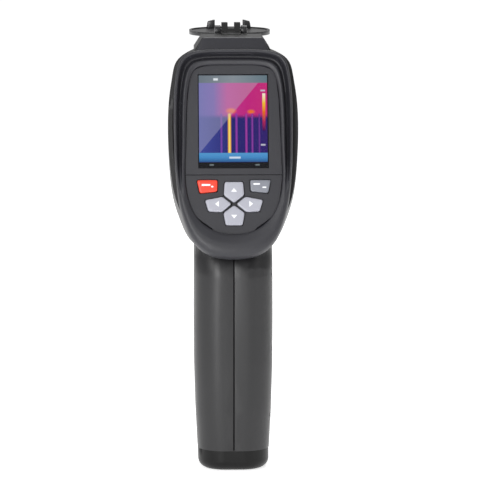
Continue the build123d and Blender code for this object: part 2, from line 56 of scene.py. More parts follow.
cameraSet = {
    "place": (-0.0431, -1.6, 0.335), "target": (0.0029, -0.020, 0.1135),
    "lens": 249.3, "nearClip": 0.05,
}
studio = {
    "backdrop": 1.0, "room": 0.40,
    "softboxes": {  # place, what it is aimed at, size, power
        "keyLight": ((-0.8, -0.9, 0.9), (0, 0, 0.12), (0.5, 0.9), 4.0),
        "fillLight": ((1.0, -0.8, 0.4), (0, 0, 0.12), (0.5, 0.9), 0.8),
        "streakLight": ((-0.45, -1.4, 0.2), (0, 0, 0.08), (0.14, 1.0), 13.0),
        "topLight": ((0.1, 0.5, 1.1), (0, 0, 0.18), (0.8, 0.6), 6.0),
    },
    "floorSize": 8, "floorColour": (0.97, 0.97, 0.97, 1), "floorRough": 0.9, "floorGlow": 0.66,
}


def aim(obj, target):
    turn = (Vector(target) - obj.location).to_track_quat("-Z", "Y")
    obj.rotation_euler = turn.to_euler()


def addCamera():
    bpy.ops.object.camera_add(location=cameraSet["place"])
    camera = bpy.context.object
    camera.data.lens = cameraSet["lens"]
    camera.data.clip_start = cameraSet["nearClip"]
    aim(camera, cameraSet["target"])
    bpy.context.scene.camera = camera


def addSoftbox(name, place, target, size, power):
    bpy.ops.object.light_add(type="AREA", location=place)
    lamp = bpy.context.object
    lamp.name = name
    lamp.data.shape = "RECTANGLE"
    lamp.data.size, lamp.data.size_y = size
    lamp.data.energy = power
    aim(lamp, target)


def addStudio():
    world = bpy.data.worlds.new("paleRoom")
    bpy.context.scene.world = world
    world.use_nodes = True
    back = world.node_tree.nodes["Background"]
    back.inputs["Color"].default_value = (1, 1, 1, 1)
    tree = world.node_tree
    path = tree.nodes.new("ShaderNodeLightPath")  # white backdrop, dimmer room around it
    level = tree.nodes.new("ShaderNodeMapRange")
    level.inputs["To Min"].default_value = studio["room"]
    level.inputs["To Max"].default_value = studio["backdrop"]
    tree.links.new(path.outputs["Is Camera Ray"], level.inputs["Value"])
    tree.links.new(level.outputs["Result"], back.inputs["Strength"])
    bpy.context.scene.view_settings.view_transform = "Standard"
    for name, (place, target, size, power) in studio["softboxes"].items():
        addSoftbox(name, place, target, size, power)


def addFloor():
    bpy.ops.mesh.primitive_plane_add(size=studio["floorSize"], location=(0, 0, 0))
    floor = bpy.context.object
    floor.name = "floor"
    paper = bpy.data.materials.new("palePaper")
    paper.use_nodes = True
    shader = paper.node_tree.nodes["Principled BSDF"]
    shader.inputs["Base Color"].default_value = studio["floorColour"]
    shader.inputs["Roughness"].default_value = studio["floorRough"]
    shader.inputs["Emission Color"].default_value = (1, 1, 1, 1)
    shader.inputs["Emission Strength"].default_value = studio["floorGlow"]
    floor.data.materials.append(paper)


addCamera()
addStudio()
addFloor()
print("camera and studio ready")


def newFinish(name, colour, rough, metal=0.0):
    mat = bpy.data.materials.new(name)
    mat.use_nodes = True
    tree = mat.node_tree
    shader = tree.nodes["Principled BSDF"]
    shader.inputs["Base Color"].default_value = (*colour, 1)
    shader.inputs["Roughness"].default_value = rough
    shader.inputs["Metallic"].default_value = metal
    return mat, tree, shader


def addNoise(tree, scale, detail=4.0):
    coords = tree.nodes.new("ShaderNodeTexCoord")
    noise = tree.nodes.new("ShaderNodeTexNoise")
    noise.inputs["Scale"].default_value = scale
    noise.inputs["Detail"].default_value = detail
    tree.links.new(coords.outputs["Object"], noise.inputs["Vector"])
    return noise


def varyColour(tree, shader, noise, dark, light):  # colour drifts between two close tones
    ramp = tree.nodes.new("ShaderNodeValToRGB")
    for element, place in zip(ramp.color_ramp.elements, looks["toneSpread"]):
        element.position = place
    ramp.color_ramp.elements[0].color = (*dark, 1)
    ramp.color_ramp.elements[1].color = (*light, 1)
    tree.links.new(noise.outputs["Fac"], ramp.inputs["Fac"])
    tree.links.new(ramp.outputs["Color"], shader.inputs["Base Color"])


def varyRoughness(tree, shader, noise, low, high):
    span = tree.nodes.new("ShaderNodeMapRange")
    span.inputs["To Min"].default_value = low
    span.inputs["To Max"].default_value = high
    tree.links.new(noise.outputs["Fac"], span.inputs["Value"])
    tree.links.new(span.outputs["Result"], shader.inputs["Roughness"])


def addBump(tree, shader, noise, strength, distance):
    bump = tree.nodes.new("ShaderNodeBump")
    bump.inputs["Strength"].default_value = strength
    bump.inputs["Distance"].default_value = distance
    tree.links.new(noise.outputs["Fac"], bump.inputs["Height"])
    tree.links.new(bump.outputs["Normal"], shader.inputs["Normal"])


looks = {
    "toneSpread": (0.3, 0.7), "grain": 1400.0, "grainDepth": 0.00006, "grainStrength": 0.35,
    "patch": 22.0, "wear": 60.0, "metalPatch": 80.0, "metalWear": 400.0, "glassWear": 30.0,
}


def mouldedPlastic(name, dark, light, rough):
    mat, tree, shader = newFinish(name, light, rough)
    varyColour(tree, shader, addNoise(tree, looks["patch"]), dark, light)
    varyRoughness(tree, shader, addNoise(tree, looks["wear"]), rough - 0.05, rough + 0.06)
    grain = addNoise(tree, looks["grain"], 2.0)
    addBump(tree, shader, grain, looks["grainStrength"], looks["grainDepth"])
    return mat


def turnedMetal(name, dark, light, rough):
    mat, tree, shader = newFinish(name, light, rough, 1.0)
    varyColour(tree, shader, addNoise(tree, looks["metalPatch"]), dark, light)
    varyRoughness(tree, shader, addNoise(tree, looks["metalWear"]), rough - 0.06, rough + 0.08)
    return mat


def clearGlass(name, tint, alpha, rough):
    mat, tree, shader = newFinish(name, tint, rough)
    varyRoughness(tree, shader, addNoise(tree, looks["glassWear"]), rough, rough + 0.02)
    shader.inputs["Alpha"].default_value = alpha
    shader.inputs["Coat Weight"].default_value = 0.4
    return mat


plastics = {  # slot: name, darker tone, lighter tone, roughness
    "housing_plastic": ("housingPlastic", (0.012, 0.012, 0.013), (0.016, 0.0155, 0.017), 0.38),
    "cover_plastic": ("coverPlastic", (0.020, 0.020, 0.025), (0.026, 0.026, 0.032), 0.46),
    "base_plastic": ("basePlastic", (0.003, 0.003, 0.003), (0.005, 0.005, 0.005), 0.36),
    "black_plastic": ("blackPlastic", (0.008, 0.008, 0.008), (0.014, 0.014, 0.014), 0.35),
    "red_key": ("redKey", (0.80, 0.05, 0.025), (0.88, 0.07, 0.035), 0.4),
    "grey_key": ("greyKey", (0.19, 0.20, 0.23), (0.24, 0.25, 0.29), 0.4),
    "light_key": ("lightKey", (0.37, 0.375, 0.43), (0.43, 0.435, 0.49), 0.42),
    "silicone": ("silicone", (0.05, 0.05, 0.055), (0.07, 0.07, 0.075), 0.6),
    "soft_rubber": ("softRubber", (0.018, 0.018, 0.02), (0.026, 0.026, 0.028), 0.62),
    "cover_shell": ("coverShell", (0.028, 0.028, 0.030), (0.036, 0.036, 0.038), 0.3),
    "board_green": ("boardGreen", (0.01, 0.09, 0.03), (0.02, 0.14, 0.05), 0.35),
    "ribbon": ("ribbonAmber", (0.5, 0.22, 0.03), (0.6, 0.28, 0.05), 0.3),
    "cell_wrap": ("cellWrap", (0.02, 0.09, 0.4), (0.03, 0.12, 0.48), 0.25),
    "lead_wire": ("leadWire", (0.5, 0.02, 0.02), (0.6, 0.03, 0.03), 0.4),
    "screen": ("screenBack", (0.01, 0.01, 0.012), (0.015, 0.015, 0.018), 0.3),
}
metals = {
    "bracket_steel": ("bracketSteel", (0.50, 0.50, 0.52), (0.62, 0.62, 0.64), 0.35),
    "spring_steel": ("springSteel", (0.55, 0.55, 0.57), (0.66, 0.66, 0.68), 0.25),
    "screw_steel": ("screwSteel", (0.16, 0.16, 0.165), (0.24, 0.24, 0.245), 0.35),
    "contact_plate": ("contactPlate", (0.7, 0.7, 0.7), (0.8, 0.8, 0.8), 0.2),
    "black_metal": ("blackMetal", (0.03, 0.03, 0.032), (0.045, 0.045, 0.05), 0.35),
    "laser_brass": ("laserBrass", (0.6, 0.44, 0.18), (0.72, 0.55, 0.25), 0.3),
    "insert_brass": ("insertBrass", (0.62, 0.45, 0.18), (0.75, 0.56, 0.26), 0.28),
    "germanium": ("germanium", (0.10, 0.10, 0.12), (0.14, 0.14, 0.17), 0.08),
}
glasses = {  # slot: name, tint, alpha, roughness
    "window_glass": ("windowGlass", (0.02, 0.02, 0.025), 0.06, 0.04),
    "lens_glass": ("lensGlass", (0.03, 0.04, 0.07), 0.6, 0.04),
    "lamp_clear": ("lampClear", (0.8, 0.8, 0.75), 0.75, 0.12),
}
finishes = {}
for maker, table in ((mouldedPlastic, plastics), (turnedMetal, metals), (clearGlass, glasses)):
    for slotName, settings in table.items():
        finishes[slotName] = maker(*settings)
nodeSlot = {s["node"]: s["material_slot"] for s in frame["record"]["subparts"]}
nodeBody = {n: b for b, members in frame["record"]["behaviour"]["bodies"].items() for n in members}


def dress(obj, slotName):  # one finish over the whole piece
    obj.data.materials.clear()
    obj.data.materials.append(finishes[slotName])


for nodeName, nodeObj in frame["nodes"].items():
    dress(nodeObj, nodeSlot[nodeName])
baseShader = finishes["base_plastic"].node_tree.nodes["Principled BSDF"]
baseShader.inputs["Specular IOR Level"].default_value = 0.25
print("finishes ready")


def onlySelect(obj):
    if bpy.context.object and bpy.context.object.mode != "OBJECT":
        bpy.ops.object.mode_set(mode="OBJECT")
    bpy.ops.object.select_all(action="DESELECT")
    bpy.context.view_layer.objects.active = obj
    obj.select_set(True)


def settle(obj):  # the place goes into the mesh, the object back to the origin
    onlySelect(obj)
    bpy.ops.object.transform_apply(location=True, rotation=True, scale=True)


def applyModifier(obj, kind, **settings):
    onlySelect(obj)
    mod = obj.modifiers.new(kind.lower(), kind)
    for key, value in settings.items():
        setattr(mod, key, value)
    bpy.ops.object.modifier_apply(modifier=mod.name)


def smoothShade(obj, degrees=35):
    onlySelect(obj)
    bpy.ops.object.shade_smooth_by_angle(angle=math.radians(degrees))


copySet = {"merge": 0.000004, "flat": math.radians(2), "sharp": math.radians(40), "segments": 2}


def copyFromFrame(nodeName, bevel=0.0):  # a merged, softened copy stands for the CAD node
    source = frame["nodes"][nodeName]
    piece = bpy.data.objects.new(nodeName + "_shell", source.data.copy())
    bpy.context.scene.collection.objects.link(piece)
    onlySelect(piece)
    bpy.ops.object.mode_set(mode="EDIT")
    bpy.ops.mesh.select_all(action="SELECT")
    bpy.ops.mesh.remove_doubles(threshold=copySet["merge"])
    if bevel:
        bpy.ops.mesh.dissolve_limited(angle_limit=copySet["flat"])
    bpy.ops.object.mode_set(mode="OBJECT")
    if bevel:
        applyModifier(piece, "BEVEL", width=bevel, segments=copySet["segments"],
                      limit_method="ANGLE", angle_limit=copySet["sharp"], use_clamp_overlap=True)
    smoothShade(piece)
    applyModifier(piece, "WEIGHTED_NORMAL", keep_sharp=True, weight=100)
    dress(piece, nodeSlot[nodeName])
    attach(piece, nodeBody[nodeName])
    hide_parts(nodeName)
    return piece


def finishPiece(obj, name, slotName, body, *nodes, degrees=35):
    obj.name = name
    settle(obj)
    smoothShade(obj, degrees)
    dress(obj, slotName)
    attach(obj, body)
    if nodes:
        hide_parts(*nodes)
    return obj


def recalcOut(obj):
    onlySelect(obj)
    bpy.ops.object.mode_set(mode="EDIT")
    bpy.ops.mesh.select_all(action="SELECT")
    bpy.ops.mesh.normals_make_consistent(inside=False)
    bpy.ops.object.mode_set(mode="OBJECT")


def prism(outline, rise):  # a flat outline of 3-D points in mm, pushed along rise
    bpy.ops.object.select_all(action="DESELECT")
    bpy.ops.mesh.primitive_circle_add(vertices=len(outline), radius=0.01, fill_type="NGON")
    solid = bpy.context.object
    for vert, point in zip(solid.data.vertices, outline):
        vert.co = Vector(point) * mm
    bpy.ops.object.mode_set(mode="EDIT")
    bpy.ops.mesh.select_all(action="SELECT")
    bpy.ops.mesh.extrude_region_move(TRANSFORM_OT_translate={"value": Vector(rise) * mm})
    bpy.ops.object.mode_set(mode="OBJECT")
    recalcOut(solid)
    return solid


def softenEdges(obj, width, segments=3, degrees=30):
    applyModifier(obj, "BEVEL", width=width * mm, segments=segments, limit_method="ANGLE",
                  angle_limit=math.radians(degrees), use_clamp_overlap=True)


rearCover = {
    "columns": 144,
    "centre": (0.0, 28.0),  # outlines are read as distances from here
    "edge": [(0, 75.9), (13, 75.7), (21.8, 74.2), (25.8, 70.6), (27.3, 65), (28.4, 56),
             (28.8, 44), (28.7, 32), (28.1, 16), (26.5, 1), (23.4, -10.4), (19.2, -18.6),
             (11.8, -24.5), (0, -26.4)],
    "inset": [(0, 67.8), (13, 67.5), (18.6, 65.4), (21.3, 58), (22.4, 46), (22.8, 30), (23.3, 14),
              (22, 3), (17.8, -6.4), (10, -12.7), (0, -14.6)],
    "tuck": 7.0,  # reach of a negative share, inwards under the panels
    # share of the way from the inset out to the edge, height beside the screen, on the chin
    "profile": [
        (1.0, -4.5, -4.5), (1.0, -2.6, -3.2), (0.985, -0.6, -1.8), (0.95, 0.9, -0.5),
        (0.90, 1.9, 0.6), (0.84, 2.2, 1.2), (0.76, 1.9, 1.6), (0.70, 0.6, 1.8),
        (0.64, -1.1, 1.95), (0.52, -1.9, 2.0), (0.42, -1.3, 2.0), (0.36, 0.9, 1.95),
        (0.29, 1.7, 1.85), (0.20, 1.75, 1.7), (0.09, 1.4, 1.5), (0.03, 1.1, 1.2),
        (0.0, 0.7, 0.9), (0.0, -0.3, -0.3), (0.0, -1.25, -1.25), (-0.2, -1.3, -1.3),
        (-0.2, -2.7, -2.7), (0.7, -2.7, -2.7), (0.85, -4.5, -4.5),
    ],
    "grooveFade": (2.0, 26.0),  # the groove dies out between these heights up the panel
}


def catmull(points, perSpan=24):  # smooth closed line through points and their mirror images
    loop = list(points) + [(-x, y) for x, y in reversed(points[1:-1])]
    line = []
    for i in range(len(loop)):
        a, b, c, d = (Vector(loop[(i + k) % len(loop)]) for k in (-1, 0, 1, 2))
        for step in range(perSpan):
            t = step / perSpan
            line.append(0.5 * (2 * b + (c - a) * t + (2 * a - 5 * b + 4 * c - d) * t * t
                               + (3 * b - a - 3 * c + d) * t ** 3))
    return line


def reachTable(points, centre):  # angle and distance of each point of the smooth line
    rows = []
    for p in catmull(points):
        away = p - Vector(centre)
        rows.append((math.atan2(away.x, away.y) % (2 * math.pi), away.length))
    return sorted(rows)


def reachAt(table, angle):
    angle %= 2 * math.pi
    for i, (turn, reach) in enumerate(table):
        if turn >= angle:
            before = table[i - 1] if i else (table[-1][0] - 2 * math.pi, table[-1][1])
            share = (angle - before[0]) / max(turn - before[0], 1e-9)
            return before[1] + (reach - before[1]) * share
    last, first = table[-1], table[0]
    share = (angle - last[0]) / (first[0] + 2 * math.pi - last[0])
    return last[1] + (first[1] - last[1]) * share


def smoothStep(low, high, value):
    t = min(max((value - low) / (high - low), 0), 1)
    return t * t * (3 - 2 * t)


def makeRearCover():
    count = rearCover["columns"]
    centre = Vector(rearCover["centre"])
    edgeTable = reachTable(rearCover["edge"], centre)
    insetTable = reachTable(rearCover["inset"], centre)
    bpy.ops.object.select_all(action="DESELECT")
    bpy.ops.mesh.primitive_circle_add(vertices=count, radius=0.03, fill_type="NOTHING")
    cover = bpy.context.object
    bpy.ops.object.mode_set(mode="EDIT")
    bpy.ops.mesh.select_all(action="SELECT")
    for _ in rearCover["profile"][1:]:  # one more ring for each step of the profile
        bpy.ops.mesh.extrude_region_move(TRANSFORM_OT_translate={"value": (0, 0, 0.001)})
    bpy.ops.object.mode_set(mode="OBJECT")
    for ring, (share, besideScreen, onChin) in enumerate(rearCover["profile"]):
        for column in range(count):
            angle = 2 * math.pi * column / count
            far, near = reachAt(edgeTable, angle), reachAt(insetTable, angle)
            reach = near + (far - near) * share if share >= 0 else near + rearCover["tuck"] * share
            spot = centre + reach * Vector((math.sin(angle), math.cos(angle)))
            fade = smoothStep(*rearCover["grooveFade"], spot.y)
            height = onChin + (besideScreen - onChin) * fade
            cover.data.vertices[ring * count + column].co = onPanel(spot.x, spot.y, height)
    return cover


cover = makeRearCover()
onlySelect(cover)
bpy.ops.object.mode_set(mode="EDIT")
bpy.ops.mesh.select_all(action="DESELECT")
bpy.ops.object.mode_set(mode="OBJECT")
lastRing = (len(rearCover["profile"]) - 1) * rearCover["columns"]
for vert in cover.data.vertices:
    vert.select = vert.index < rearCover["columns"] or vert.index >= lastRing
bpy.ops.object.mode_set(mode="EDIT")
bpy.ops.mesh.select_mode(type="VERT")
bpy.ops.mesh.bridge_edge_loops()
bpy.ops.object.mode_set(mode="OBJECT")
recalcOut(cover)
applyModifier(cover, "SUBSURF", levels=1, render_levels=1)
finishPiece(cover, "rearCoverShell", "cover_plastic", "body", "rear_cover", degrees=50)
print("rear cover shaped")

brow = {
    "halfLow": 18.4, "halfHigh": 14.9, "low": 73.0, "high": 82.0,
    "back": -6.5, "front": 0.9, "rollBack": 1.6, "round": 1.3,
}


def makeBrow():
    bpy.ops.object.select_all(action="DESELECT")
    bpy.ops.mesh.primitive_cube_add(size=1)
    piece = bpy.context.object
    for vert in piece.data.vertices:
        high = vert.co.y > 0
        half = brow["halfHigh"] if high else brow["halfLow"]
        up = brow["high"] if high else brow["low"]
        out = brow["front"] if vert.co.z > 0 else brow["back"]
        if high and vert.co.z > 0:
            out -= brow["rollBack"]  # the face rolls back towards its top edge
        vert.co = onPanel(math.copysign(half, vert.co.x), up, out)
    recalcOut(piece)
    applyModifier(piece, "BEVEL", width=brow["round"] * mm, segments=5, limit_method="NONE")
    return finishPiece(piece, "brow", "cover_plastic", "body", "rear_cover")


makeBrow()

keySet = {
    "bottom": -1.95, "top": 1.0, "corner": 0.9, "crown": 0.45,
    "roll": [(0.45, 0.985), (0.30, 0.97), (0.17, 0.94), (0.08, 0.80)],
    "outlines": {
        "up_button": ("light_key", [(-4.4, 10.7), (4.4, 10.7), (4.9, 4.3), (0, 0.6), (-4.9, 4.3)]),
        "down_button": ("light_key", [(-5.1, -4.4), (0, -0.6), (5.1, -4.4), (4.0, -10.3),
                                      (-4.0, -10.3)]),
        "right_button": ("light_key", [(1.2, 0), (5.5, 3.5), (13.9, 1.9), (12.3, -3.6),
                                       (5.8, -3.9)]),
        "left_button": ("light_key", [(-1.2, 0), (-5.5, 3.5), (-13.9, 1.9), (-12.3, -3.6),
                                      (-5.8, -3.9)]),
        "grey_button": ("grey_key", [(7.8, 11.6), (17.7, 11.6), (16.4, 5.3), (8.0, 6.1)]),
        "red_button": ("red_key", [(-7.8, 11.6), (-17.7, 11.6), (-16.4, 5.3), (-8.0, 6.1)]),
    },
}


def makeKey(nodeName, slotName, outline):
    bpy.ops.object.select_all(action="DESELECT")
    bpy.ops.mesh.primitive_circle_add(vertices=len(outline), radius=0.005, fill_type="NGON")
    key = bpy.context.object
    for vert, (u, v) in zip(key.data.vertices, outline):
        vert.co = onPanel(u, v, keySet["bottom"])
    bpy.ops.object.mode_set(mode="EDIT")
    bpy.ops.mesh.select_all(action="SELECT")
    bpy.ops.mesh.bevel(offset=keySet["corner"] * mm, segments=5, affect="VERTICES")
    bpy.ops.mesh.select_all(action="SELECT")
    rise = panelOut * (keySet["top"] - keySet["crown"] - keySet["bottom"]) * mm
    bpy.ops.mesh.extrude_region_move(TRANSFORM_OT_translate={"value": rise})
    for share, size in keySet["roll"]:  # the top rolls in towards a gentle crown
        rise = panelOut * keySet["crown"] * share * mm
        bpy.ops.mesh.extrude_region_move(TRANSFORM_OT_translate={"value": rise})
        bpy.ops.transform.resize(value=(size, size, size))
    bpy.ops.object.mode_set(mode="OBJECT")
    recalcOut(key)
    return finishPiece(key, nodeName + "_cap", slotName, nodeName, nodeName, degrees=60)


for nodeName, (slotName, outline) in keySet["outlines"].items():
    makeKey(nodeName, slotName, outline)

markSet = {
    "height": 0.95, "thick": 0.07, "arrow": [(0, 1.0), (1.45, -0.8), (-1.45, -0.8)],
    "arrowCorner": 0.12, "barCorner": 0.3,
    "arrows": {  # middle of the arrow, turn in degrees
        "up_button": ((0, 6.7), 0), "left_button": ((-8.1, 0.0), 90),
        "down_button": ((0, -6.1), 180), "right_button": ((8.1, 0.0), 270),
    },
    "bars": {  # middle, width, height
        "red_button": [((-13.4, 9.2), 4.2, 0.9), ((-10.4, 8.4), 1.1, 0.8)],
        "grey_button": [((10.9, 9.6), 3.2, 0.8), ((14.6, 8.0), 1.9, 0.7)],
    },
    "colour": (0.86, 0.87, 0.9), "tones": ((0.8, 0.81, 0.85), (0.9, 0.91, 0.94)),
    "rough": 0.5, "patch": 300.0,
}
markPaint, markTree, markShader = newFinish("markPaint", markSet["colour"], markSet["rough"])
varyColour(markTree, markShader, addNoise(markTree, markSet["patch"]), *markSet["tones"])


def printMark(name, body, corners, corner):  # thin print on a key's crown
    bpy.ops.object.select_all(action="DESELECT")
    bpy.ops.mesh.primitive_circle_add(vertices=len(corners), radius=0.002, fill_type="NGON")
    mark = bpy.context.object
    for vert, (u, v) in zip(mark.data.vertices, corners):
        vert.co = onPanel(u, v, markSet["height"])
    bpy.ops.object.mode_set(mode="EDIT")
    bpy.ops.mesh.select_all(action="SELECT")
    bpy.ops.mesh.bevel(offset=corner * mm, segments=3, affect="VERTICES")
    bpy.ops.mesh.select_all(action="SELECT")
    rise = panelOut * markSet["thick"] * mm
    bpy.ops.mesh.extrude_region_move(TRANSFORM_OT_translate={"value": rise})
    bpy.ops.object.mode_set(mode="OBJECT")
    recalcOut(mark)
    mark.name = name
    settle(mark)
    mark.data.materials.append(markPaint)
    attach(mark, body)


for nodeName, (middle, turn) in markSet["arrows"].items():
    spin = Matrix.Rotation(math.radians(turn), 2)
    corners = [tuple(spin @ Vector(point) + Vector(middle)) for point in markSet["arrow"]]
    printMark(nodeName + "_arrow", nodeName, corners, markSet["arrowCorner"])
for nodeName, bars in markSet["bars"].items():
    for i, ((u, v), wide, tall) in enumerate(bars):
        corners = [(u + across * wide / 2, v + up * tall / 2)
                   for across, up in ((-1, -1), (1, -1), (1, 1), (-1, 1))]
        printMark(f"{nodeName}_mark{i}", nodeName, corners, markSet["barCorner"])
print("keys shaped")

screenSet = {
    "middle": 40.4, "wide": 33.86, "tall": 45.96, "height": -1.46, "thick": 0.03, "cuts": 5,
    "glow": 0.95, "specular": 0.2, "rough": 0.3,
    # ramps run left to right or bottom to top: place, colour
    "warm": [(0.0, (0.10, 0.10, 0.42)), (0.22, (0.17, 0.09, 0.42)), (0.42, (0.58, 0.03, 0.30)),
             (0.7, (0.58, 0.012, 0.22)), (1.0, (0.62, 0.02, 0.2))],
    "cold": [(0.0, (0.05, 0.07, 0.36)), (0.5, (0.014, 0.012, 0.17)), (1.0, (0.03, 0.01, 0.16))],
    "coldTop": (0.53, 0.585),
    "hotSpots": [((0.47, 0.615), 0.10, (0.95, 0.20, 0.02)),
                 ((0.755, 0.605), 0.075, (0.9, 0.18, 0.02))],
    "flatten": 2.4,
    "barSpan": (0.16, 0.585), "barSoft": 0.008,
    "bars": [  # middle, half width, colour
        (0.33, 0.012, (0.20, 0.05, 0.42)), (0.545, 0.014, (0.30, 0.04, 0.40)),
        (0.685, 0.014, (0.36, 0.04, 0.36)), (0.77, 0.012, (0.26, 0.04, 0.36)),
        (0.87, 0.010, (0.16, 0.03, 0.3)), (0.445, 0.022, (0.98, 0.45, 0.03)),
        (0.445, 0.009, (1.0, 0.82, 0.2)),
    ],
    # painted reflection on the screen: line, softness, colour and share of a slanting pale glare
    "paintedReflectionLine": (0.913, 1.124, 0.861), "paintedReflectionSoft": (-0.006, 0.010),
    "paintedReflectionColour": (0.55, 0.55, 0.75), "paintedReflectionShare": 0.26,
    "scale": [(0.0, (0.03, 0.0, 0.1)), (0.25, (0.45, 0.01, 0.1)), (0.5, (0.85, 0.16, 0.01)),
              (0.75, (1.0, 0.6, 0.03)), (1.0, (1.0, 0.95, 0.75))],
    "scaleBox": (0.915, 0.958, 0.40, 0.80), "scaleSpan": (0.40, 0.40),
    "statusStrip": [(0.0, (0.16, 0.20, 0.24)), (0.5, (0.26, 0.30, 0.34)), (1.0, (0.13, 0.2, 0.24))],
    "statusFoot": (0.908, 0.916),
    "blueStrip": [(0.0, (0.02, 0.10, 0.30)), (0.5, (0.06, 0.28, 0.62)), (1.0, (0.09, 0.36, 0.70))],
    "blueBand": (0.072, 0.168), "blueSpan": (0.072, 0.096), "blueSoft": 0.004,
    "footTop": (0.066, 0.074), "footColour": (0.004, 0.004, 0.006),
    "border": (0.012, 0.985, 0.008, 0.992), "borderColour": (0.002, 0.002, 0.003, 1),
    # plain marks in place of lettering: colour, boxes as left, right, low, high
    "scaleMarks": ((0.6, 0.6, 0.7), [(0.89, 0.955, 0.822, 0.838), (0.89, 0.955, 0.245, 0.261)]),
    "statusMarks": ((0.85, 0.9, 0.95), [(0.22, 0.285, 0.938, 0.962)]),
    "blueMarks": ((0.7, 0.82, 0.95), [(0.44, 0.60, 0.108, 0.128)]),
    "footMarks": ((0.2, 0.24, 0.25), [(0.16, 0.22, 0.034, 0.048), (0.81, 0.87, 0.034, 0.048)]),
}


def mathNode(tree, operation, a, b=0.0):
    node = tree.nodes.new("ShaderNodeMath")
    node.operation = operation
    for socket, value in zip(node.inputs, (a, b)):
        if isinstance(value, (int, float)):
            socket.default_value = value
        else:
            tree.links.new(value, socket)
    return node.outputs[0]


def ramp01(tree, value, low, high):  # 0 below low, 1 above high, smooth between
    node = tree.nodes.new("ShaderNodeMapRange")
    node.interpolation_type = "SMOOTHSTEP"
    node.inputs["From Min"].default_value = low
    node.inputs["From Max"].default_value = high
    tree.links.new(value, node.inputs["Value"])
    return node.outputs["Result"]


def spanMask(tree, value, low, high, soft):
    rising = ramp01(tree, value, low - soft, low + soft)
    falling = ramp01(tree, value, high - soft, high + soft)
    return mathNode(tree, "SUBTRACT", rising, falling)


def boxMask(tree, across, up, box, soft=0.006):  # box is left, right, low, high
    return mathNode(tree, "MULTIPLY", spanMask(tree, across, box[0], box[1], soft),
                    spanMask(tree, up, box[2], box[3], soft))


def layOver(tree, below, colour, mask):
    mix = tree.nodes.new("ShaderNodeMix")
    mix.data_type = "RGBA"
    tree.links.new(mask, mix.inputs["Factor"])
    tree.links.new(below, mix.inputs["A"])
    if isinstance(colour, tuple):
        mix.inputs["B"].default_value = (*colour, 1)
    else:
        tree.links.new(colour, mix.inputs["B"])
    return mix.outputs["Result"]


def colourRamp(tree, value, stops):
    ramp = tree.nodes.new("ShaderNodeValToRGB")
    while len(ramp.color_ramp.elements) < len(stops):
        ramp.color_ramp.elements.new(0.5)
    for element, (place, colour) in zip(ramp.color_ramp.elements, stops):
        element.position = place
        element.color = (*colour, 1)
    tree.links.new(value, ramp.inputs["Fac"])
    return ramp.outputs["Color"]


def layMarks(tree, picture, across, up, marks):
    colour, boxes = marks
    for box in boxes:
        picture = layOver(tree, picture, colour, boxMask(tree, across, up, box))
    return picture


def fromBottom(tree, up, span):  # 0 to 1 over a span given as its foot and its length
    return mathNode(tree, "DIVIDE", mathNode(tree, "SUBTRACT", up, span[0]), span[1])


def below(tree, value, edge):  # 1 under the edge, 0 over it
    return mathNode(tree, "SUBTRACT", 1.0, ramp01(tree, value, *edge))


def spotDistance(tree, across, up, place):
    dx = mathNode(tree, "SUBTRACT", across, place[0])
    dy = mathNode(tree, "SUBTRACT", up, place[1])
    dy = mathNode(tree, "MULTIPLY", dy, screenSet["flatten"])
    squares = [mathNode(tree, "MULTIPLY", d, d) for d in (dx, dy)]
    return mathNode(tree, "SQRT", mathNode(tree, "ADD", *squares))


